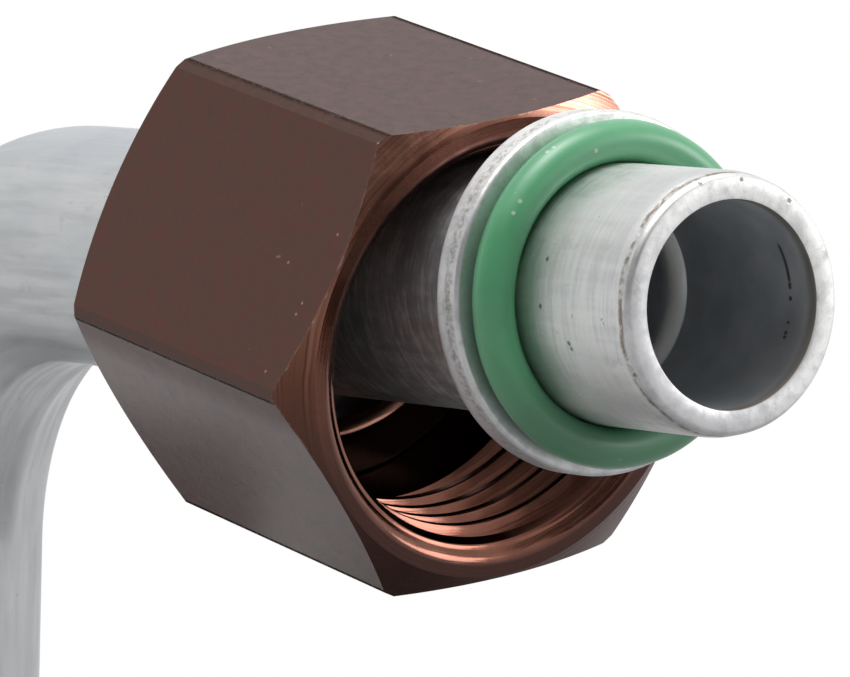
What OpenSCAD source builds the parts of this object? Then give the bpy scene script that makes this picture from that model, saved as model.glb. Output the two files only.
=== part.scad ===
// Tube elbow with a beaded O-ring end and a loose captive hex nut.
// Millimetres. +X points out of the tube's mouth, +Z is up, the leg runs down.
// The origin is the centre of the mouth's end face.

/* [Tube] */
// Outside diameter of the tube
tube_od = 13.7; // [12.7:0.1:14.5]
// Wall thickness of the tube
tube_wall = 1.5; // [1:0.05:1.8]
// Length from the mouth to the start of the bend
run_len = 60.2; // [58:0.2:90]
// Radius of the bend, measured to the tube's centre line
bend_r = 18; // [16:0.5:40]
// Angle of the bend
bend_angle = 90; // [45:5:120]
// Length of the straight stub after the bend
stub_len = 16; // [8:1:60]
// Chamfer on the outside edge of the stub's end
stub_chamfer = 0.5; // [0.2:0.1:0.9]

/* [Mouth] */
// Length of the lead taper at the mouth
lead_len = 0.85; // [0.4:0.05:2]
// How much smaller the taper's radius is at the mouth
lead_drop = 0.25; // [0.1:0.05:0.5]
// Break on the inside edge of the mouth
mouth_break = 0.2; // [0.1:0.05:0.3]

/* [Bead] */
// Length of plain tube ahead of the bead
pilot_len = 10.95; // [8:0.05:14]
// Outside diameter of the bead
bead_od = 19.1; // [17.4:0.1:20]
// Thickness of the bead
bead_w = 1.9; // [1.5:0.1:2.6]
// Rounding of the bead's front edge
bead_front_round = 0.6; // [0.2:0.05:0.7]
// Rounding of the bead's back edge
bead_back_round = 0.3; // [0.1:0.05:0.5]
// Radius in the corner between the bead's back and the tube
bead_root = 0.5; // [0.2:0.05:0.9]
// Bore through the fold inside the bead
fold_bore = 9.85; // [8.6:0.05:9.9]

/* [O-ring] */
// Thickness of the O-ring
ring_section = 2.2; // [1.6:0.1:2.6]
// Clearance between the O-ring and the tube, on the radius
ring_fit = 0.03; // [0.01:0.01:0.1]
// Gap between the O-ring and the bead
ring_gap = 0.05; // [0.02:0.01:0.2]

/* [Nut] */
// Size across the flats
across_flats = 25.4; // [25:0.1:32]
// Length of the nut
nut_len = 20.9; // [18:0.1:26]
// Angle of the turned chamfers at both ends, from the face
chamfer_angle = 30; // [15:1:40]
// Diameter of each end face, inside its chamfer
face_d = 25.1; // [24.2:0.1:25.3]
// Width across the corners after the sharp edges are taken off
corner_d = 28.95; // [28.6:0.05:29.3]
// Thread: smallest diameter, across the crests
thread_d = 20.6; // [20.3:0.1:21.6]
// Depth of the thread from the nut's face
thread_len = 9.4; // [7:0.1:11]
// Diameter of the countersink at the nut's face
countersink_d = 23.4; // [22.6:0.1:24.2]
// Diameter of the clear space behind the thread
relief_d = 22.6; // [22.3:0.1:23.4]
// Depth of the seat that bears on the bead
seat_depth = 15.2; // [13:0.1:17]
// Cone on the seat's inner edge, on the radius
seat_cone = 0.6; // [0.2:0.05:0.9]
// How much larger than the tube the nut's back hole is
hole_play = 2.5; // [1.6:0.1:2.9]
// Break on the back edge of that hole
hole_break = 0.4; // [0.2:0.05:0.6]

/* [Nut position] */
// Distance from the mouth back to the nut's face
nut_back = 19.4; // [16:0.1:36]
// Clearance left where the leaning nut meets the tube
rest_gap = 0.12; // [0.08:0.01:0.2]
// Side of the tube that bears on the first thread, from straight up
front_bearing = -1.8; // [-30:0.1:30]
// Side of the tube that bears on the back hole, from straight down
back_bearing = 59.5; // [-60:0.5:60]
// Turn of the hexagon from one corner straight up
nut_turn = -19.6; // [-30:0.1:30]

/* [Hidden] */
fn_round = 96;
fn_edge = 32;
fn_ball = 192;
past = 1;

tube_r = tube_od / 2;
bore_r = tube_r - tube_wall;
bead_r = bead_od / 2;
bead_mid = -pilot_len - bead_w / 2;
bead_back = -pilot_len - bead_w;
bend_x = -run_len;
ring_r = tube_r + ring_fit + ring_section / 2;
ring_x = -pilot_len + ring_gap + ring_section / 2;

hex_d = across_flats / cos(30);
dome_r = (face_d + corner_d) / 4 / sin(chamfer_angle);
dome_sunk = sqrt(dome_r * dome_r - face_d * face_d / 4);
thread_r = thread_d / 2;
sink_len = (countersink_d - thread_d) / 2;
hole_r = (tube_od + hole_play) / 2;

// The nut leans until the tube meets the first thread in front and the
// hole's edge behind. bear_span is the length between those two places.
bear_span = nut_len - sink_len;
most_lean = asin((thread_r + hole_r - tube_od) / bear_span);
leaned_r = tube_r / cos(most_lean);
front_play = thread_r - leaned_r - rest_gap;
back_play = hole_r - leaned_r - rest_gap;
front_off = front_play * [sin(front_bearing), -cos(front_bearing)];
back_off = back_play * [-sin(back_bearing), cos(back_bearing)];
lean = (front_off - back_off) / bear_span;
lean_down = asin(-lean[1]);
lean_side = asin(lean[0] / cos(lean_down));
face_off = front_off + lean * sink_len;

// A round bar along X from x0 to x1.
module bar(r, x0, x1) {
    translate([x0, 0, 0])
        rotate([0, 90, 0])
            cylinder(r = r, h = x1 - x0, $fn = fn_round);
}

// A bar that widens or narrows from r0 at x0 to r1 at x1.
module cone_bar(r0, r1, x0, x1) {
    translate([x0, 0, 0])
        rotate([0, 90, 0])
            cylinder(r1 = r0, r2 = r1, h = x1 - x0, $fn = fn_round);
}

// A round section of radius section_r turned about X at radius r.
module hoop(r, section_r, x) {
    translate([x, 0, 0])
        rotate([0, 90, 0])
            rotate_extrude($fn = fn_round)
                translate([r, 0])
                    circle(r = section_r, $fn = fn_edge);
}

// A quarter turn of tube-shaped bar, from the run into the leg.
module bend(r) {
    translate([bend_x, 0, -bend_r])
        rotate([90, -90, 0])
            rotate_extrude(angle = bend_angle, $fn = fn_round)
                translate([bend_r, 0])
                    circle(r = r, $fn = fn_round);
}

// Puts its children at the end of the bend, where the tube goes on along -X.
module at_leg() {
    translate([bend_x, 0, -bend_r])
        rotate([0, -bend_angle, 0])
            translate([0, 0, bend_r])
                children();
}

// Everything the tube would fill if it had no bore: taper, pilot, run, bend, stub.
module tube_outside() {
    cone_bar(tube_r, tube_r - lead_drop, -lead_len, 0);
    bar(tube_r, bend_x, -lead_len);
    bend(tube_r);
    at_leg() {
        bar(tube_r, stub_chamfer - stub_len, 0);
        cone_bar(tube_r - stub_chamfer, tube_r, -stub_len, stub_chamfer - stub_len);
    }
}

// The passage through the tube, open at both ends.
module tube_inside() {
    bar(bore_r, bend_x, past);
    bend(bore_r);
    at_leg() bar(bore_r, -stub_len - past, 0);
    cone_bar(bore_r, bore_r + mouth_break + past, -mouth_break, past);
}

// The bead is the tube's own wall, folded outwards and pressed flat.
module bead() {
    edge_front = -pilot_len - bead_front_round;
    edge_back = bead_back + bead_back_round;
    bar(bead_r - bead_front_round, bead_back, -pilot_len);
    bar(bead_r, edge_back, edge_front);
    bar(bead_r - bead_back_round, bead_back, edge_front);
    hoop(bead_r - bead_front_round, bead_front_round, edge_front);
    hoop(bead_r - bead_back_round, bead_back_round, edge_back);
}

// Hollow corner between the bead's back face and the tube.
module bead_root() {
    difference() {
        bar(tube_r + bead_root, bead_back - bead_root, bead_back);
        hoop(tube_r + bead_root, bead_root, bead_back - bead_root);
    }
}

// Inside, the fold stands into the bore as a rounded lip.
module fold_lip() {
    lip_r = bead_w / 2;
    difference() {
        hoop(fold_bore / 2 + lip_r, lip_r, bead_mid);
        bar(fold_bore / 2, -run_len, 0);
    }
}

// The aluminium tube with its formed end.
module elbow_tube() {
    color("#c4c7ca") {
        difference() {
            union() {
                tube_outside();
                bead();
                bead_root();
            }
            tube_inside();
        }
        fold_lip();
    }
}

// The seal, a moulded rubber ring that sits against the bead.
module o_ring() {
    color("#3f8a5c")
        hoop(ring_r, ring_section / 2, ring_x);
}

// A ball whose skin forms one end of the nut, centred at x.
module dome(x) {
    translate([x, 0, 0])
        rotate([0, 90, 0])
            sphere(r = dome_r, $fn = fn_ball);
}

// Hexagon bar with its corners eased. Both ends are turned to a shallow dome,
// which leaves a chamfer on each corner and a round, flat face inside it.
module nut_blank() {
    intersection() {
        rotate([0, -90, 0])
            cylinder(d = hex_d, h = nut_len, $fn = 6);
        bar(corner_d / 2, -nut_len, 0);
        dome(-dome_sunk);
        dome(dome_sunk - nut_len);
    }
}

// What is bored out of the nut, from its face to its back.
module nut_bore() {
    hole_cone = hole_r + seat_cone;
    cone_bar(thread_r, countersink_d / 2 + past, -sink_len, past);
    bar(thread_r, -thread_len - past, 0);
    bar(relief_d / 2, -seat_depth, -thread_len);
    cone_bar(hole_r, hole_cone, -seat_depth - seat_cone, -seat_depth);
    bar(hole_r, -nut_len - past, -seat_depth);
    cone_bar(hole_r + hole_break + past, hole_r, -nut_len - past, hole_break - nut_len);
}

// The captive nut, slid back on the tube and leaning on it.
module hex_nut() {
    color("#5f4038")
        translate([-nut_back, face_off[0], face_off[1]])
            rotate([0, lean_down, lean_side])
                rotate([nut_turn, 0, 0])
                    difference() {
                        nut_blank();
                        nut_bore();
                    }
}

elbow_tube();
hex_nut();
o_ring();
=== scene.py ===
from math import atan2, cos, hypot, pi, radians, sin, sqrt, tan

import bmesh
import bpy
from mathutils import Euler, Matrix, Vector


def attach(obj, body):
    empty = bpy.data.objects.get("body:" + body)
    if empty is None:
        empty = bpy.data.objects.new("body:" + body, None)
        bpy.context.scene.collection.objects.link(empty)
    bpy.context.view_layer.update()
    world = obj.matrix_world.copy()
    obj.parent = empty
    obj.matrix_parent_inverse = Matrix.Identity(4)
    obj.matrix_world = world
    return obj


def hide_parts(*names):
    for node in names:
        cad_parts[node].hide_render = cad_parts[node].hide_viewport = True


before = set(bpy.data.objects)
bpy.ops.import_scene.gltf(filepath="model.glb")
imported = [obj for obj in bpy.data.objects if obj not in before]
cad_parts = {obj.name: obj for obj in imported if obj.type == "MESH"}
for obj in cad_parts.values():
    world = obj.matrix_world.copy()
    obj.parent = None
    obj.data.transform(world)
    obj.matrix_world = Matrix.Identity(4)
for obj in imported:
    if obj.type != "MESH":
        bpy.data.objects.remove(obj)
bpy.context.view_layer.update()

mm = 0.001

# ---------------------------------------------------------------------------
# The elbow tube: drawn aluminium, 13.7 mm across, bent once and cut off square.
# Its end is sized and rolled, and a bead is folded out of the wall and pressed
# flat, which leaves a rounded lip standing in the bore.

tube_r = 6.85
bore_r = 5.35
bead_r = 9.55
bead_front = -10.95
bead_back = -12.85
run_end = -60.2
bend_r = 18
stub_end = -34
tube_sides = 128
bend_steps = 36


def add_piece(name):
    """Names the new primitive and puts its place into its mesh."""
    piece = bpy.context.object
    piece.name = name
    piece.data.name = name
    bpy.ops.object.transform_apply(location=True, rotation=True, scale=True)
    return piece


def draw_rings(rings, x, r):
    """Draws the open ring at x, r on through a list of (x, radius)."""
    for next_x, next_r in rings:
        bpy.ops.mesh.extrude_region_move(
            TRANSFORM_OT_translate={"value": ((next_x - x) * mm, 0, 0)}
        )
        if abs(next_r - r) > 1e-6:
            size = next_r / r
            bpy.ops.transform.resize(
                value=(1, size, size), center_override=(next_x * mm, 0, 0)
            )
        x, r = next_x, next_r


def arc(x, r, radius, start, end, steps):
    """Points of a rounding about x, r, with angles from +X towards outward."""
    turns = [radians(start + (end - start) * i / steps) for i in range(steps + 1)]
    return [(x + radius * cos(t), r + radius * sin(t)) for t in turns]


def even(x0, x1, r, steps):
    """Rings of one radius at even places after x0, up to x1."""
    return [(x0 + (x1 - x0) * i / steps, r) for i in range(1, steps + 1)]


def bend_ring(way):
    """Sweeps the open ring through the quarter bend, down (1) or back up (-1)."""
    bpy.ops.mesh.spin(
        steps=bend_steps, angle=radians(90),
        center=(run_end * mm, 0, -bend_r * mm), axis=(0, way, 0),
    )


def close_up(gap):
    """Merges the points that meet, and turns all faces outwards."""
    bpy.ops.mesh.select_all(action="SELECT")
    bpy.ops.mesh.remove_doubles(threshold=gap * mm)
    bpy.ops.mesh.normals_make_consistent(inside=False)


def work(piece, kind, **settings):
    """Shapes the piece with one modifier and applies it."""
    bpy.context.view_layer.objects.active = piece
    step = piece.modifiers.new(kind.lower(), kind)
    for name, value in settings.items():
        setattr(step, name, value)
    bpy.ops.object.modifier_apply(modifier=step.name)


# the outside, from just inside the mouth: rim, crease, pilot, bead, neck and run
first_x = -0.2
bpy.ops.object.select_all(action="DESELECT")
bpy.ops.mesh.primitive_circle_add(
    vertices=tube_sides, radius=bore_r * mm, fill_type="NOTHING",
    location=(first_x * mm, 0, 0), rotation=(0, pi / 2, 0),
)
tube = add_piece("beaded_tube")
bpy.ops.object.mode_set(mode="EDIT")
bpy.ops.mesh.select_all(action="SELECT")
rings = [(-0.06, 5.4), (0, 5.52), (0, 6.4), (-0.04, 6.52), (-0.12, 6.61), (-0.25, 6.68)]
rings += [(-0.4, 6.715), (-0.46, 6.7), (-0.54, 6.73), (-0.85, 6.8), (-1.05, 6.835)]
rings += [(-1.3, tube_r)] + even(-1.3, -10.6, tube_r, 8)
rings += [(-10.85, 6.9), (bead_front, 7.05), (bead_front, 8.2)]
rings += arc(bead_front - 0.25, bead_r - 0.25, 0.25, 0, 90, 5)
rings += [(-11.8, bead_r), (-12.3, bead_r)]
rings += arc(bead_back + 0.3, bead_r - 0.3, 0.3, 90, 180, 4) + [(bead_back, 8.2)]
rings += arc(bead_back - 0.5, tube_r + 0.5, 0.5, 0, -90, 5)
rings += even(bead_back - 0.5, run_end, tube_r, 26)
draw_rings(rings, first_x, bore_r)

# round the bend, down the stub, over its cut end and back up inside
bend_ring(1)
z, r = -bend_r, tube_r
for next_z, next_r in [
    (-23, tube_r), (-28, tube_r), (-33.5, tube_r), (-33.85, 6.6), (stub_end, 6.35),
    (stub_end, 5.5), (-33.85, bore_r), (-28, bore_r), (-23, bore_r), (-bend_r, bore_r),
]:
    bpy.ops.mesh.extrude_region_move(
        TRANSFORM_OT_translate={"value": (0, 0, (next_z - z) * mm)}
    )
    bpy.ops.transform.resize(
        value=(next_r / r, next_r / r, 1),
        center_override=((run_end - bend_r) * mm, 0, next_z * mm),
    )
    z, r = next_z, next_r
bend_ring(-1)

# the bore, with the lip of the fold, out to the mouth again
lip = arc(-11.9, 5.875, 0.95, 213.5, 326.5, 12)
lip_front = -11.108
rings = even(run_end, lip[0][0], bore_r, 16) + lip[1:-1] + [(lip_front, bore_r)]
rings += even(lip_front, first_x, bore_r, 10)
draw_rings(rings, run_end, bore_r)
close_up(0.004)
bpy.ops.object.mode_set(mode="OBJECT")
bpy.ops.object.shade_smooth_by_angle(angle=radians(40))

# where each point lay on the straight tube, in mm, for marks that follow the tube
straight = []
for vertex in tube.data.vertices:
    x, y, z = vertex.co / mm
    if x < run_end:
        turn = min(atan2(run_end - x, z + bend_r), pi / 2)
        leg = max(0, -bend_r - z)
        reach = run_end - x if leg else hypot(run_end - x, z + bend_r)
        x, z = run_end - bend_r * turn - leg, reach - bend_r
    straight.append((x, y, z))

# the bender has flattened the inside of the bend over 16 degrees to each side,
# with a crease at the edge and a shallower hollow beyond it
flat_angle = radians(16)
flat_depth = 0.28
flat_start = -56
flat_end = -98
hollow_mid = 1.9
hollow_half = 0.9
hollow_depth = 0.75
pressed = tube.vertex_groups.new(name="bend_inside")
for index, (x, y, z) in enumerate(straight):
    off = atan2(abs(y), -z) / flat_angle
    outside = hypot(y, z) > 6.5
    if off < hollow_mid + hollow_half and outside and flat_end < x < flat_start:
        if off < 1:
            depth = 1 - off**2
        else:
            hollow = max(0, 1 - ((off - hollow_mid) / hollow_half) ** 2)
            depth = hollow_depth * hollow**1.5
        fade = min(1, (flat_start - x) / 7, (x - flat_end) / 10)
        pressed.add([index], depth * fade, "REPLACE")
work(tube, "DISPLACE", vertex_group="bend_inside", strength=-flat_depth * mm, mid_level=0)
unbent = tube.data.attributes.new("unbent", "FLOAT_VECTOR", "POINT")
for index, point in enumerate(straight):
    unbent.data[index].vector = point


def fill(tree, node, inputs):
    """Gives a node's inputs their values, or joins sockets to them."""
    for key, value in dict(inputs).items():
        if isinstance(value, bpy.types.NodeSocket):
            tree.links.new(value, node.inputs[key])
        else:
            node.inputs[key].default_value = value


def add_node(tree, kind, inputs=(), **settings):
    """Adds a node, with its settings, and values or sockets for its inputs."""
    node = tree.nodes.new("ShaderNode" + kind)
    for name, value in settings.items():
        setattr(node, name, value)
    fill(tree, node, inputs)
    return node


def new_finish(name):
    """A new material, with its tree and its shader."""
    finish = bpy.data.materials.new(name)
    finish.use_nodes = True
    return finish, finish.node_tree, finish.node_tree.nodes["Principled BSDF"]


def split(tree, place):
    """The X, Y and Z of a place."""
    return add_node(tree, "SeparateXYZ", {"Vector": place}).outputs


def from_axis(tree, place):
    """How far a place is from the X axis."""
    across = add_node(tree, "VectorMath", {0: place, 1: (0, 1, 1)}, operation="MULTIPLY")
    length = add_node(tree, "VectorMath", {0: across.outputs[0]}, operation="LENGTH")
    return length.outputs["Value"]


def grain(tree, place, per_mm, detail=3, rough=0.55):
    """Noise from 0 to 1 with so many marks to the mm, all ways or along x, y and z."""
    scale = per_mm if isinstance(per_mm, tuple) else (per_mm, per_mm, per_mm)
    point = add_node(tree, "Mapping", {"Vector": place, "Scale": scale})
    inputs = {"Vector": point.outputs[0], "Scale": 1, "Detail": detail, "Roughness": rough}
    return add_node(tree, "TexNoise", inputs).outputs["Fac"]


def ramp(tree, value, start, end, low=0.0, high=1.0):
    """Goes smoothly from low to high as the value goes from start to end."""
    inputs = {"Value": value, 1: start, 2: end, 3: low, 4: high}
    return add_node(
        tree, "MapRange", inputs, interpolation_type="SMOOTHSTEP"
    ).outputs[0]


def calc(tree, operation, *numbers):
    """One sum on one, two or three numbers."""
    return add_node(tree, "Math", enumerate(numbers), operation=operation).outputs[0]


def overlap(tree, *masks):
    """What lies within every one of these masks."""
    whole = masks[0]
    for mask in masks[1:]:
        whole = calc(tree, "MULTIPLY", whole, mask)
    return whole


def off_line(tree, value, middle):
    """How far a value is from a middle, either way."""
    return calc(tree, "ABSOLUTE", calc(tree, "SUBTRACT", value, middle))


def mix(tree, amount, first, second):
    """Goes from one number to another by an amount from 0 to 1."""
    return add_node(tree, "Mix", {0: amount, 2: first, 3: second}).outputs[0]


def tint(tree, amount, under, over):
    """Lays one colour over another by an amount from 0 to 1."""
    inputs = {0: amount, 6: under, 7: over}
    return add_node(tree, "Mix", inputs, data_type="RGBA").outputs[2]


def relief(tree, height, depth, under=None):
    """Bump of a height from 0 to 1 that stands so many mm deep."""
    inputs = {"Height": height, "Distance": depth * mm, "Strength": 1}
    if under is not None:
        inputs["Normal"] = under
    return add_node(tree, "Bump", inputs).outputs[0]


def spots(tree, place, centres, size):
    """A mask of small round marks at these places."""
    mask = 0.0
    for centre in centres:
        gap = add_node(tree, "VectorMath", {0: place, 1: centre}, operation="DISTANCE")
        mask = calc(tree, "MAXIMUM", mask, ramp(tree, gap.outputs[1], size, size * 0.3))
    return mask


# the run is dull from the draw bench, and the formed end brighter, with roller
# marks round it. The rim and the bead's faces are whitish, with painted shade greying them low
# down.
run_greys = (0.49, 0.515, 0.53, 1), (0.6, 0.605, 0.61, 1)
pilot_greys = (0.6, 0.61, 0.605, 1), (0.69, 0.69, 0.68, 1)
bead_grey_and_shade = (0.78, 0.78, 0.77, 1), (0.54, 0.54, 0.55, 1)
line_grey = (0.3, 0.3, 0.31, 1)
top_shade_blue = (0.33, 0.36, 0.4, 1)
underside_shade_grey = (0.33, 0.33, 0.34, 1)
bruise_blue = (0.36, 0.37, 0.4, 1)
nut_shade_greys = (0.34, 0.34, 0.345, 1), (0.43, 0.43, 0.44, 1)
scuff_grey = (0.6, 0.6, 0.61, 1)
smear_brown = (0.36, 0.34, 0.31, 1)
speck_brown = (0.24, 0.22, 0.19, 1)
dirt_brown = (0.2, 0.16, 0.12, 1)
seam_x = -11.65
crease_x = -0.52
drawn, tree, shader = new_finish("drawn_aluminium")
place = add_node(tree, "Attribute", attribute_name="unbent").outputs["Vector"]
parts = split(tree, place)
reach = from_axis(tree, place)
formed = ramp(tree, parts["X"], -14, -13)
rim = ramp(tree, parts["X"], -0.5, -0.44)
bead = ramp(tree, reach, 7.4, 7.8)
ends = calc(tree, "MAXIMUM", rim, bead)
rolled = grain(tree, place, (3.2, 0.2, 0.2), 5, 0.7)
streaks = grain(tree, place, (0.14, 1.4, 1.4), 4, 0.55)
patches = grain(tree, place, (0.12, 0.22, 0.22), 5)
mottle = grain(tree, place, 1.1, 5, 0.62)
pits = grain(tree, place, 1.7, 2)
lines = mix(tree, formed, streaks, mix(tree, 0.4, rolled, streaks))
lines = mix(tree, ends, lines, mottle)
cloudy = ramp(tree, patches, 0.3, 0.7)
colour = tint(
    tree, formed, tint(tree, cloudy, *run_greys), tint(tree, cloudy, *pilot_greys)
)
# painted shade: the rim and the bead's faces turn greyer low down
lean = add_node(tree, "VectorMath", {0: place, 1: (0, 0.6, 0.8)}, operation="DOT_PRODUCT")
lower = ramp(tree, lean.outputs["Value"], 3, -5)
colour = tint(tree, ends, colour, tint(tree, lower, *bead_grey_and_shade))
shade = overlap(tree, ramp(tree, lines, 0.42, 0.64), mix(tree, formed, 0.14, 0.3))
colour = tint(tree, shade, colour, line_grey)
# painted shade: a blue grey tint darkens the top of the run, and a grey one the underside behind
# the nut
painted_top_shade = calc(tree, "SUBTRACT", ramp(tree, parts["Z"], 3.8, 6.2, 0, 0.45), formed)
colour = tint(tree, calc(tree, "MAXIMUM", painted_top_shade, 0), colour, top_shade_blue)
painted_underside_shade = overlap(
    tree, ramp(tree, parts["Z"], 0, -5.5, 0, 0.42), ramp(tree, parts["X"], -30, -40)
)
colour = tint(tree, painted_underside_shade, colour, underside_shade_grey)
bruise = ramp(tree, grain(tree, place, (0.5, 0.9, 0.9), 5, 0.7), 0.56, 0.72, 0, 0.35)
colour = tint(tree, bruise, colour, bruise_blue)
# the run is scuffed where the nut has rubbed it, with painted shade that deepens inside the nut
rubbed_and_shaded = overlap(tree, ramp(tree, parts["X"], -45, -38), ramp(tree, parts["X"], -13, -13.4))
painted_nut_shade = tint(tree, ramp(tree, parts["X"], -20, -14), *nut_shade_greys)
colour = tint(tree, rubbed_and_shaded, colour, painted_nut_shade)
hairs = grain(tree, place, (3.4, 0.35, 0.35), 5, 0.7)
hairs = mix(tree, 0.45, hairs, grain(tree, place, 0.8, 6, 0.75))
scuffs = overlap(tree, ramp(tree, hairs, 0.44, 0.62), rubbed_and_shaded)
colour = tint(tree, scuffs, colour, scuff_grey)
# smears, pits and specks of dirt on the pilot
smears = ramp(tree, grain(tree, place, (1.2, 0.55, 0.55), 6, 0.75), 0.58, 0.72, 0, 0.5)
colour = tint(tree, overlap(tree, smears, formed), colour, smear_brown)
specks = spots(tree, place, [
    (-7.2, -6.5, 2), (-7.3, -6.8, -0.4), (-5.2, -6.5, -2.2), (-5.1, -6.45, -2.5),
    (-0.5, -5.7, -3.5), (-0.1, -2.2, 6.2), (0, 0.3, 6.4), (0, 3.4, 5.3),
], 0.2)
specks = calc(tree, "MAXIMUM", ramp(tree, pits, 0.74, 0.78, 0, 0.55), specks)
colour = tint(tree, specks, colour, speck_brown)
# dirt caught in the seam of the bead and in the wavy crease behind the rim
seam = ramp(tree, off_line(tree, parts["X"], seam_x), 0.55, 0.1)
grit = ramp(tree, grain(tree, place, 3, 5, 0.75), 0.42, 0.62, 0, 0.6)
seam = overlap(tree, seam, grit, ramp(tree, reach, 9.35, 9.5))
drift = ramp(tree, grain(tree, place, 0.4, 4, 0.6), 0.3, 0.7, -0.1, 0.16)
crease = off_line(tree, calc(tree, "ADD", parts["X"], drift), crease_x)
crease = ramp(tree, crease, 0.2, 0.04)
worn = ramp(tree, grain(tree, place, 0.8, 5, 0.7), 0.36, 0.56, 0, 0.9)
dirt = calc(tree, "MAXIMUM", seam, overlap(tree, crease, worn))
colour = tint(tree, dirt, colour, dirt_brown)
rough = calc(
    tree, "ADD", ramp(tree, patches, 0.3, 0.7, 0.34, 0.44), ramp(tree, lines, 0.35, 0.65, 0, 0.14)
)
marks = relief(tree, lines, 0.03, relief(tree, grain(tree, place, 0.09, 2), 0.35))
burr = overlap(tree, crease, ramp(tree, grain(tree, place, 0.9, 4), 0.4, 0.7))
marks = relief(tree, burr, 0.06, marks)
fill(tree, shader, {
    "Base Color": colour,
    "Metallic": mix(tree, ends, mix(tree, formed, 0.7, 0.92), 0.85),
    "Roughness": rough,
    "Normal": relief(tree, calc(tree, "MAXIMUM", specks, dirt), -0.02, marks),
})
tube.data.materials.append(drawn)

# the bore is duller and stained at the mouth, with painted shade low down near the mouth and a
# painted highlight on the lip
film_greys = (0.52, 0.55, 0.58, 1), (0.63, 0.65, 0.67, 1)
bore_shade_grey = (0.22, 0.23, 0.24, 1)
score_grey = (0.13, 0.13, 0.13, 1)
stain_brown = (0.25, 0.21, 0.17, 1)
lip_highlight_cream = (0.97, 0.94, 0.88, 1)
score_x = -2.2
wall, tree, shader = new_finish("bore_wall")
place = add_node(tree, "Attribute", attribute_name="unbent").outputs["Vector"]
parts = split(tree, place)
film = grain(tree, place, 0.5, 5, 0.6)
scores = grain(tree, place, (1.6, 0.2, 0.2), 4)
colour = tint(tree, ramp(tree, film, 0.3, 0.7), *film_greys)
# painted shade on the lower wall near the mouth
low = overlap(tree, ramp(tree, parts["Z"], 1, -3), ramp(tree, parts["X"], -5.5, -1), 0.5)
colour = tint(tree, low, colour, bore_shade_grey)
# a score round the right side, which breaks up into dots lower down
dots = ramp(tree, grain(tree, place, (0.2, 0.2, 2.4), 2), 0.5, 0.56)
dots = overlap(tree, dots, ramp(tree, parts["Z"], -2.7, -2.5))
dots = calc(tree, "MAXIMUM", dots, ramp(tree, parts["Z"], 0.9, 1.2))
score = overlap(
    tree, ramp(tree, off_line(tree, parts["X"], score_x), 0.16, 0.08),
    ramp(tree, parts["Y"], 3.8, 4.2), dots, ramp(tree, parts["Z"], 3.1, 2.8),
)
colour = tint(tree, score, colour, score_grey)
stain = ramp(tree, parts["X"], -0.95, -0.3, 0, 0.8)
colour = tint(tree, stain, colour, stain_brown)
# painted highlight: the lip is made pale cream and less metallic
painted_lip_light = overlap(tree, ramp(tree, parts["X"], -11, -11.4), ramp(tree, parts["X"], -13.5, -12.4))
fill(tree, shader, {
    "Base Color": tint(tree, painted_lip_light, colour, lip_highlight_cream),
    "Metallic": ramp(tree, painted_lip_light, 0, 1, 0.6, 0.15),
    "Roughness": ramp(tree, film, 0.3, 0.7, 0.4, 0.52),
    "Normal": relief(tree, scores, 0.02),
})
tube.data.materials.append(wall)

# the bore's faces, up to just short of the stub's cut end
stub_tip = run_end - bend_r * pi / 2 + bend_r + stub_end
for face in tube.data.polygons:
    centre = sum((Vector(straight[i]) for i in face.vertices), Vector()) / len(face.vertices)
    if hypot(centre.y, centre.z) < 6.3 and stub_tip + 0.17 < centre.x < -0.12:
        face.material_index = 1
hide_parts("elbow_tube")
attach(tube, "elbow")

# ---------------------------------------------------------------------------
# The captive nut: hexagon bar in aluminium, turned, bored, tapped 14 turns to
# the inch and anodised brown. It was slipped on before the bead was formed, so
# it can't come off, and it hangs loose and leans on the tube.

flats = 25.4
nut_len = 20.9
land_cut = 0.388
face_r = 12.55
corner_r = 14.475
relief_r = 11.3
hole_r = 8.1
pitch = 25.4 / 14
crest_r = 10.3
root_r = 11.28
turns_cut = 8
turned_sides = 192
hex_half = pi / 6


def turned(name, rings):
    """A turned blank or cutter, closed at both ends, from a list of (x, radius)."""
    (x, r), rest = rings[0], rings[1:]
    bpy.ops.object.select_all(action="DESELECT")
    bpy.ops.mesh.primitive_circle_add(
        vertices=turned_sides, radius=r * mm, fill_type="NGON",
        location=(x * mm, 0, 0), rotation=(0, pi / 2, 0),
    )
    piece = add_piece(name)
    bpy.ops.object.mode_set(mode="EDIT")
    bpy.ops.mesh.select_all(action="SELECT")
    draw_rings(rest, x, r)
    bpy.ops.mesh.select_all(action="SELECT")
    bpy.ops.mesh.normals_make_consistent(inside=False)
    bpy.ops.object.mode_set(mode="OBJECT")
    return piece


def carve(piece, cutter, operation):
    """Keeps or takes away what the cutter covers, and drops the cutter."""
    bpy.ops.object.select_all(action="DESELECT")
    work(piece, "BOOLEAN", object=cutter, operation=operation, solver="EXACT")
    bpy.data.objects.remove(cutter)


def choose_edges(piece, wanted):
    """Selects in edit mode the edges for which wanted(edge) is true."""
    bpy.ops.mesh.select_mode(type="EDGE")
    bpy.ops.mesh.select_all(action="DESELECT")
    mesh = bmesh.from_edit_mesh(piece.data)
    for edge in mesh.edges:
        edge.select_set(wanted(edge))
    bmesh.update_edit_mesh(piece.data)


# hexagon bar, with a narrow land along each of its six corners
bpy.ops.object.select_all(action="DESELECT")
bpy.ops.mesh.primitive_cylinder_add(
    vertices=6, radius=flats / 2 / cos(hex_half) * mm, depth=nut_len * mm,
    location=(-nut_len / 2 * mm, 0, 0), rotation=(0, pi / 2, 0),
)
nut = add_piece("captive_nut")
bpy.ops.object.mode_set(mode="EDIT")
choose_edges(nut, lambda e: abs(e.verts[0].co.x - e.verts[1].co.x) > mm)
bpy.ops.mesh.bevel(offset=land_cut * mm, offset_type="OFFSET", segments=1)
bpy.ops.object.mode_set(mode="OBJECT")

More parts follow.
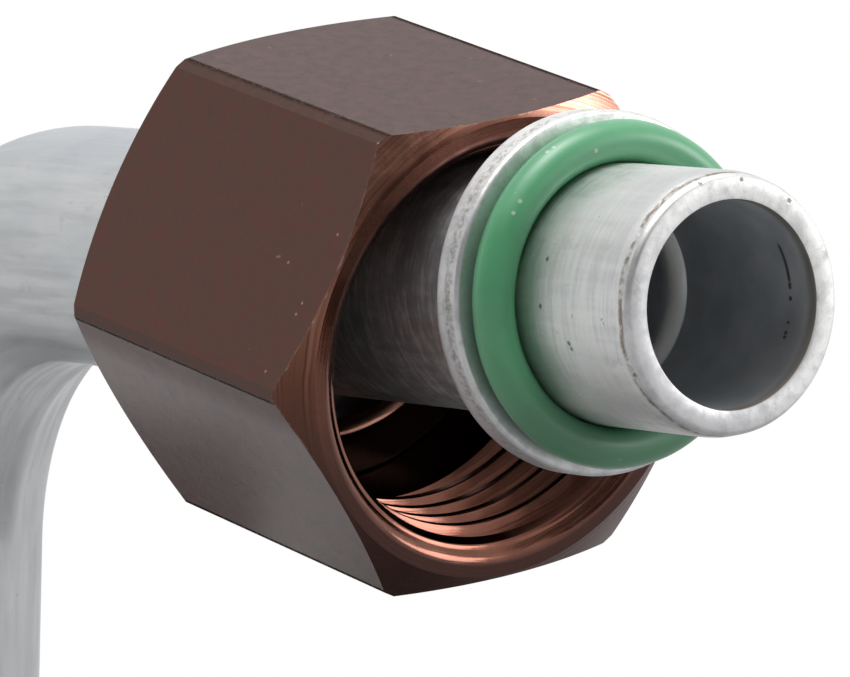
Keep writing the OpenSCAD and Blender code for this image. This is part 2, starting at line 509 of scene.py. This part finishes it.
# both ends are turned to a dome that takes off the corners at about 30 degrees
dome_r = (face_r + corner_r) / 2 / sin(radians(30))
dome_sunk = sqrt(dome_r**2 - face_r**2)
past_corner = 14.9
dome = [face_r + (past_corner - face_r) * i / 12 for i in range(13)]
dome = [(sqrt(dome_r**2 - r * r) - dome_sunk, r) for r in dome]
back = [(-nut_len - x, r) for x, r in dome[::-1]]
carve(nut, turned("end_form", dome + back), "INTERSECT")

# bore: countersink, tapping size, relief, cone seat and back hole
bore = [(1, 12.9), (0, 11.95), (-0.03, 11.8), (-0.09, 11.64), (-0.2, 11.46), (-0.5, 11.17)]
bore += [(-0.53, 11.08), (-0.58, 10.98), (-0.62, 10.93), (-0.7, 10.88), (-1.9, 10.35)]
bore += [(-2.1, 10.25), (-9.4, 10.25), (-9.4, relief_r), (-15, relief_r), (-15.15, 11.25)]
bore += [(-15.2, 11.1), (-15.2, 8.9), (-15.25, 8.72), (-15.38, 8.5), (-15.6, 8.25)]
bore += [(-15.9, hole_r), (-20.5, hole_r), (-21.5, hole_r + 1)]
carve(nut, turned("reamer", bore), "DIFFERENCE")
work(nut, "BEVEL", width=0.06 * mm, segments=2, limit_method="ANGLE", angle_limit=radians(24))

# the tap: one pitch of thread form, screwed along and closed at both ends
half = pitch / 2
root_half = pitch / 16
groove = root_half + (root_r - crest_r) * tan(radians(30))
form = [(0, crest_r), (half - groove - 0.05, crest_r), (half - groove + 0.03, crest_r + 0.05)]
form += [(half - root_half - 0.03, root_r - 0.05), (half - root_half + 0.03, root_r)]
form += [(pitch - x, r) for x, r in form[::-1]]
tap_start = -12.55
tap_half = turns_cut * half
tap_mid = tap_start + tap_half
bpy.ops.object.select_all(action="DESELECT")
bpy.ops.mesh.primitive_plane_add(size=mm, location=(tap_start * mm, 0, crest_r * mm))
tap = add_piece("tap")
bpy.ops.object.mode_set(mode="EDIT")
bpy.ops.mesh.select_mode(type="VERT")
bpy.ops.mesh.select_all(action="SELECT")
bpy.ops.mesh.merge(type="CENTER")
x, r = form[0]
for next_x, next_r in form[1:]:
    bpy.ops.mesh.extrude_region_move(
        TRANSFORM_OT_translate={"value": ((next_x - x) * mm, 0, (next_r - r) * mm)}
    )
    x, r = next_x, next_r
bpy.ops.object.mode_set(mode="OBJECT")
work(
    tap, "SCREW", axis="X", screw_offset=pitch * mm, iterations=turns_cut - 1,
    steps=turned_sides, render_steps=turned_sides,
)
bpy.ops.object.mode_set(mode="EDIT")
bpy.ops.mesh.select_all(action="SELECT")
bpy.ops.mesh.remove_doubles(threshold=0.001 * mm)
for side in (-1, 1):
    choose_edges(
        tap, lambda e: e.is_boundary and (e.verts[0].co.x - tap_mid * mm) * side > 0
    )
    bpy.ops.mesh.extrude_region_move(TRANSFORM_OT_translate={"value": (0, 0, 0)})
    point = (tap_mid + side * (tap_half + 1.2)) * mm
    bpy.ops.transform.resize(value=(0, 0, 0), center_override=(point, 0, 0))
close_up(0.001)
bpy.ops.object.mode_set(mode="OBJECT")
carve(nut, tap, "DIFFERENCE")

nut.select_set(True)
bpy.ops.object.mode_set(mode="EDIT")
close_up(0.002)
bpy.ops.object.mode_set(mode="OBJECT")
bpy.ops.object.shade_smooth_by_angle(angle=radians(24))
work(nut, "WEIGHTED_NORMAL", keep_sharp=True)

# hung on the tube: turned about its axis, then tilted and swung until it leans
nut_spot = Vector((-19.4, -0.048072, -3.377999)) * mm
nut_turns = [radians(a) for a in (10.4, 10.603696, 2.081873)]
nut_place = Matrix.LocRotScale(nut_spot, Euler(nut_turns), None)
nut.matrix_world = nut_place
bpy.ops.object.transform_apply(location=True, rotation=True, scale=True)


def nut_finish(name):
    """A new finish for the nut, with places in mm from the middle of its front."""
    finish, tree, shader = new_finish(name)
    inputs = {
        "Vector": add_node(tree, "TexCoord").outputs["Object"],
        "Location": nut_spot, "Rotation": nut_turns, "Scale": (mm, mm, mm),
    }
    place = add_node(tree, "Mapping", inputs, vector_type="TEXTURE").outputs[0]
    return finish, tree, shader, place


def turn_from_flat(tree, parts, widest):
    """The angle round the nut from the middle of a flat, up to widest each way."""
    turn = calc(tree, "ARCTAN2", parts["Y"], parts["Z"])
    return calc(tree, "WRAP", turn, widest, -widest)


def tool_marks(tree, spread, per_mm, detail):
    """Fine rings left by a turning tool, from 0 to 1."""
    inputs = {"W": spread, "Scale": per_mm, "Detail": detail}
    return add_node(tree, "TexNoise", inputs, noise_dimensions="1D").outputs["Fac"]


# the flats keep the skin of the bar, etched dull and dyed, under a glassy oxide
skin_browns = (0.087, 0.045, 0.033, 1), (0.107, 0.039, 0.029, 1)
etch_brown = (0.055, 0.031, 0.025, 1)
corner_shade_brown = (0.045, 0.02, 0.014, 1)
land_brown = (0.075, 0.05, 0.042, 1)
bare_metal = (0.3, 0.21, 0.18, 1)
pore_black = (0.03, 0.018, 0.014, 1)
line_off = 6.82
land_from = 0.5007
skin, tree, shader, place = nut_finish("anodised_bar_skin")
parts = split(tree, place)
reach = from_axis(tree, place)
mottle = grain(tree, place, 1.1, 6, 0.7)
etch = grain(tree, place, 4, 4, 0.65)
nicks = grain(tree, place, 1.3, 2, 0.5)
colour = tint(tree, ramp(tree, mottle, 0.35, 0.65), *skin_browns)
colour = tint(tree, ramp(tree, etch, 0.5, 0.7, 0, 0.25), colour, etch_brown)
# painted dark reflection: a dark line runs beside the corners on every other flat, and is wider
# at the top
turn = turn_from_flat(tree, parts, 2 * hex_half)
side = calc(tree, "ABSOLUTE", calc(tree, "MULTIPLY", reach, calc(tree, "SINE", turn)))
line_half = ramp(tree, parts["Z"], 2, 6, 0.17, 0.34)
painted_corner_line = overlap(
    tree, ramp(tree, off_line(tree, side, line_off), line_half, 0.04),
    calc(tree, "LESS_THAN", calc(tree, "ABSOLUTE", turn), hex_half),
    ramp(tree, etch, 0.3, 0.5, 0.4, 0.9),
)
colour = tint(tree, painted_corner_line, colour, corner_shade_brown)
# the narrow land along each corner is greyer
turn = turn_from_flat(tree, parts, hex_half)
land = calc(tree, "GREATER_THAN", calc(tree, "ABSOLUTE", turn), land_from)
colour = tint(tree, calc(tree, "MULTIPLY", land, 0.6), colour, land_brown)
# bare metal shows where the edge of the turned end and the flats have been knocked
edge = calc(tree, "SQRT", calc(tree, "SUBTRACT", dome_r**2, calc(tree, "POWER", reach, 2)))
edge = calc(tree, "SUBTRACT", edge, calc(tree, "ADD", parts["X"], dome_sunk))
edge = overlap(tree, ramp(tree, edge, 0.13, 0.03), ramp(tree, mottle, 0.48, 0.62, 0.05, 0.5))
knocks = spots(tree, place, [
    (-2.26, -14.12, 1.0), (-1.7, -12.11, 4.46), (-1.79, -12.41, 3.88), (-4.11, -11.26, 5.92),
    (-1.23, -10.09, 7.91), (-1.16, -7.47, 12.4), (-0.3, -3.2, 12.7), (-0.3, -2.8, 12.7),
], 0.12)
bare = calc(tree, "MAXIMUM", edge, knocks)
bare = calc(tree, "MAXIMUM", bare, ramp(tree, nicks, 0.75, 0.79, 0, 0.6))
colour = tint(tree, bare, colour, bare_metal)
colour = tint(tree, ramp(tree, nicks, 0.24, 0.19, 0, 0.5), colour, pore_black)
# the oxide is thinner on the lands, thicker low down, and gone over the painted dark line
oxide = ramp(tree, mottle, 0.3, 0.7, 0.6, 0.66)
oxide = calc(tree, "SUBTRACT", oxide, calc(tree, "MULTIPLY", land, 0.14))
oxide = calc(tree, "ADD", oxide, ramp(tree, parts["Z"], -1, -3, 0, 0.31))
fill(tree, shader, {
    "Base Color": colour,
    "Metallic": 1,
    "Specular Tint": (0.25, 0.18, 0.16, 1),
    "Roughness": ramp(tree, mottle, 0.3, 0.7, 0.42, 0.5),
    "Normal": relief(tree, etch, 0.006, relief(tree, nicks, 0.02)),
    "Coat Weight": ramp(tree, painted_corner_line, 0, 1, oxide, 0.1),
    "Coat Roughness": 0.16,
    "Coat IOR": 1.35,
    "Coat Normal": relief(tree, mottle, 0.0006),
})
nut.data.materials.append(skin)

# the turned ends, the bore and the thread are bright cut under the dye, with marks
# of the tool at the corners, and painted shade darkens them deep inside the nut
cut_browns = (0.16, 0.058, 0.037, 1), (0.2, 0.078, 0.051, 1)
corner_brown = (0.14, 0.052, 0.031, 1)
upper_highlight_copper = (0.46, 0.2, 0.14, 1)
mark_copper = (0.3, 0.13, 0.09, 1)
tear_copper = (0.55, 0.27, 0.2, 1)
worn_edge = (0.5, 0.33, 0.27, 1)
mark_black = (0.04, 0.013, 0.008, 1)
recess_shade_black = (0.02, 0.009, 0.006, 1)
seat_highlight_copper = (0.42, 0.2, 0.14, 1)
underside_shade_brown = (0.06, 0.024, 0.018, 1)
bright_cut, tree, shader, place = nut_finish("anodised_turned")
parts = split(tree, place)
reach = from_axis(tree, place)
wobble = calc(tree, "MULTIPLY", grain(tree, place, 0.2, 2), 0.5)
wavy_reach = calc(tree, "ADD", reach, wobble)
feed = tool_marks(tree, wavy_reach, 5.5, 3)
mottle = grain(tree, place, 0.6, 5, 0.6)
chatter = ramp(tree, grain(tree, place, 0.07, 2), 0.42, 0.58, 0.45, 1)
chatter = overlap(tree, ramp(tree, reach, 12.5, 13.1, 0.2, 1), chatter)
colour = tint(tree, ramp(tree, mottle, 0.3, 0.7), *cut_browns)
colour = tint(tree, ramp(tree, reach, 12.4, 13), colour, corner_brown)
# a painted highlight makes the upper corners paler, with light tool marks and tears in the cut
high = overlap(tree, ramp(tree, parts["Z"], 4, 8), ramp(tree, reach, 12.6, 13), 0.9)
colour = tint(tree, high, colour, upper_highlight_copper)
light = overlap(tree, ramp(tree, feed, 0.56, 0.72), chatter, 0.5)
colour = tint(tree, light, colour, mark_copper)
tears = overlap(
    tree, ramp(tree, tool_marks(tree, wavy_reach, 4.2, 4), 0.5, 0.6),
    ramp(tree, reach, 13.1, 13.5), ramp(tree, parts["Z"], 4, 7),
)
colour = tint(tree, tears, colour, tear_copper)
# the edge against the flats is worn to metal
turn = turn_from_flat(tree, parts, hex_half)
out = calc(tree, "MULTIPLY", reach, calc(tree, "COSINE", turn))
edge = overlap(
    tree, ramp(tree, out, 12.6, 12.68), ramp(tree, parts["X"], -2, -1.8),
    ramp(tree, mottle, 0.5, 0.62, 0, 0.7),
)
colour = tint(tree, edge, colour, worn_edge)
# dark tool marks, painted shade in the depths behind the thread, a painted highlight on the seat
# and painted shade on the underside
dark = overlap(tree, ramp(tree, feed, 0.45, 0.32), chatter, 0.65)
colour = tint(tree, dark, colour, mark_black)
painted_recess_shade = ramp(tree, parts["X"], -9, -10.5, 0, 0.8)
colour = tint(tree, painted_recess_shade, colour, recess_shade_black)
# painted highlight on the edge of the cone seat
painted_seat_light = overlap(tree, ramp(tree, parts["X"], -15.9, -15.7), ramp(tree, reach, 8.9, 8.7))
colour = tint(tree, painted_seat_light, colour, seat_highlight_copper)
# painted shade, darker towards the bottom of the turned ends
under = overlap(tree, ramp(tree, parts["Z"], 5, -7), ramp(tree, reach, 11.4, 12))
colour = tint(tree, under, colour, underside_shade_brown)
rough = calc(
    tree, "MULTIPLY", ramp(tree, reach, 11.9, 11.7, 1, 0.6),
    ramp(tree, mottle, 0.3, 0.7, 0.22, 0.32),
)
fill(tree, shader, {
    "Base Color": colour,
    "Metallic": 1,
    "Roughness": rough,
    "Normal": relief(tree, feed, 0.012, relief(tree, mottle, 0.01)),
    "Coat Weight": 0.3,
    "Coat Roughness": 0.12,
})
nut.data.materials.append(bright_cut)
nut_axis = nut_place.to_3x3() @ Vector((1, 0, 0))
for face in nut.data.polygons:
    offset = (face.center - nut_spot).cross(nut_axis).length
    if offset < 12.6 * mm or abs(face.normal.dot(nut_axis)) > 0.1:
        face.material_index = 1
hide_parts("hex_nut")
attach(nut, "nut")

# ---------------------------------------------------------------------------
# The O-ring: green rubber, moulded in two halves, so a fine flash line runs
# round its outside. It is stretched over the pilot and pushed up to the bead.

ring_x = -9.8
ring_r = 7.98
section_r = 1.1
flash_size = 1.0025

bpy.ops.object.select_all(action="DESELECT")
bpy.ops.mesh.primitive_torus_add(
    major_segments=144, minor_segments=36, major_radius=ring_r * mm,
    minor_radius=section_r * mm, location=(ring_x * mm, 0, 0), rotation=(0, pi / 2, 0),
)
seal = add_piece("seal_ring")
bpy.ops.object.mode_set(mode="EDIT")
bpy.ops.mesh.select_all(action="DESELECT")
mesh = bmesh.from_edit_mesh(seal.data)
for vert in mesh.verts:
    vert.select = hypot(vert.co.y, vert.co.z) > (ring_r + section_r - 0.001) * mm
mesh.select_flush(True)
bmesh.update_edit_mesh(seal.data)
bpy.ops.transform.resize(
    value=(1, flash_size, flash_size), center_override=(ring_x * mm, 0, 0)
)
bpy.ops.object.mode_set(mode="OBJECT")
bpy.ops.object.shade_smooth()

# a soft sheen, with painted shade deepening the green low down and painted light paling it on
# top, with specks of dust and painted glints, in mm from the middle of the ring
ring_greens = (0.075, 0.33, 0.15, 1), (0.095, 0.38, 0.18, 1)
low_shade_green = (0.04, 0.14, 0.07, 1)
top_light_green = (0.17, 0.48, 0.27, 1)
glint_highlight_green = (0.5, 0.6, 0.52, 1)
rubber, tree, shader = new_finish("green_rubber")
place = add_node(tree, "Mapping", {
    "Vector": add_node(tree, "TexCoord").outputs["Object"],
    "Location": (-ring_x, 0, 0), "Scale": (1000, 1000, 1000),
}).outputs[0]
parts = split(tree, place)
bloom = grain(tree, place, 0.35, 5)
dust = grain(tree, place, 3, 2)
colour = tint(tree, ramp(tree, bloom, 0.3, 0.7), *ring_greens)
colour = tint(tree, ramp(tree, parts["Z"], -2, -8, 0, 0.85), colour, low_shade_green)
colour = tint(tree, ramp(tree, parts["Z"], 2, 8, 0, 0.35), colour, top_light_green)
# painted glints, at listed places on the upper left of the ring
painted_glints = spots(tree, place, [
    (0.4, -4.7, 7.6), (0.4, -5.1, 7.4), (1.1, -2.5, 7.5), (0.9, -7.5, 4.3), (0.9, -7.1, 4.9),
], 0.16)
dust_and_glints = calc(tree, "MAXIMUM", ramp(tree, dust, 0.72, 0.78, 0, 0.6), painted_glints)
fill(tree, shader, {
    "Base Color": tint(tree, dust_and_glints, colour, glint_highlight_green),
    "Roughness": ramp(tree, bloom, 0.3, 0.7, 0.34, 0.46),
    "Normal": relief(tree, grain(tree, place, 6, 3), 0.006),
    "Coat Weight": 0.35,
    "Coat Roughness": 0.35,
})
seal.data.materials.append(rubber)
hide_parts("o_ring")
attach(seal, "seal")

# ---------------------------------------------------------------------------
# The studio: a pale table that runs out to white under a white room, a wide soft
# lamp and a small one overhead, and one at the right. Dark cloths hang behind the
# camera and give the metal its darker sides.

floor_gap = 0.1
table_grey = (0.55, 0.55, 0.55, 1)
cloth_grey = (0.25, 0.25, 0.25, 1)
room_white = (1, 1, 1, 1)
room_strength = 0.22

bpy.ops.object.select_all(action="DESELECT")
bpy.ops.mesh.primitive_plane_add(size=4, location=(0, 0, (stub_end - floor_gap) * mm))
floor = bpy.context.object
floor.name = "studio_floor"
# the table is white to the eye far off, and to shiny metal also behind the bend
table, tree, shader = new_finish("pale_table")
fill(tree, shader, {"Base Color": table_grey, "Roughness": 0.8})
place = add_node(tree, "TexCoord").outputs["Object"]
parts = split(tree, place)
far = add_node(tree, "VectorMath", {0: place}, operation="LENGTH").outputs["Value"]
path = add_node(tree, "LightPath").outputs
direct = calc(tree, "MAXIMUM", path["Is Camera Ray"], path["Is Transmission Ray"])
direct = overlap(tree, direct, ramp(tree, far, 0.07, 0.15))
behind = overlap(
    tree, ramp(tree, parts["X"], -0.06, -0.076), ramp(tree, parts["Y"], -0.003, -0.006)
)
lit = calc(tree, "MAXIMUM", behind, ramp(tree, far, 0.04, 0.09))
seen = calc(tree, "MAXIMUM", direct, overlap(tree, path["Is Glossy Ray"], lit))
white = add_node(tree, "Emission")
mixed = add_node(
    tree, "MixShader", {0: seen, 1: shader.outputs[0], 2: white.outputs[0]}
)
tree.links.new(mixed.outputs[0], tree.nodes["Material Output"].inputs["Surface"])
floor.data.materials.append(table)

cloth, tree, shader = new_finish("dark_cloth")
fill(tree, shader, {"Base Color": cloth_grey, "Roughness": 1})
for name, spot, turn, width in [
    ("flag_front", (0.8, -0.35, 0.37), 0, 1.2), ("flag_left", (0.25, -0.85, 0.37), -pi / 2, 1.1)
]:
    bpy.ops.object.select_all(action="DESELECT")
    bpy.ops.mesh.primitive_plane_add(size=1, location=spot, rotation=(0, -pi / 2, turn))
    flag = bpy.context.object
    flag.name = name
    flag.scale = (0.82, width, 1)
    flag.visible_camera = False
    flag.data.materials.append(cloth)


def soft_lamp(name, way, distance, size, strength):
    """A square lamp that far away in a direction, facing the object."""
    lamp = bpy.data.objects.new(name, bpy.data.lights.new(name, "AREA"))
    bpy.context.scene.collection.objects.link(lamp)
    lamp.location = Vector(way).normalized() * distance
    lamp.rotation_euler = (-lamp.location).to_track_quat("-Z", "Y").to_euler()
    lamp.data.size = size
    lamp.data.energy = strength * pi * size * size
    lamp.visible_camera = False


soft_lamp("lamp_above", (0.05, -0.12, 1), 0.7, 0.5, 5.5)
soft_lamp("lamp_small", (0.03, -0.11, 0.99), 0.65, 0.05, 60)
soft_lamp("lamp_right", (0.54, 0.78, 0.32), 0.55, 0.22, 6)

camera = bpy.data.objects.new("camera", bpy.data.cameras.new("camera"))
bpy.context.scene.collection.objects.link(camera)
camera.data.lens = 339.3
camera.data.sensor_width = 36
camera.data.clip_start = 0.01
camera.location = (0.324565, -0.245379, 0.020541)
camera.rotation_euler = [radians(a) for a in (86.8149, -1.366, 55.1846)]
bpy.context.scene.camera = camera
bpy.context.scene.view_settings.view_transform = "Standard"

# the room is pale to the object, and pure white where it is seen or mirrored
world = bpy.data.worlds.new("studio")
bpy.context.scene.world = world
world.use_nodes = True
tree = world.node_tree
path = add_node(tree, "LightPath").outputs
seen = calc(tree, "MAXIMUM", path["Is Camera Ray"], path["Is Glossy Ray"])
seen = calc(tree, "MAXIMUM", seen, path["Is Transmission Ray"])
fill(tree, tree.nodes["Background"], {
    "Color": room_white,
    "Strength": ramp(tree, seen, 0, 1, room_strength, 1),
})
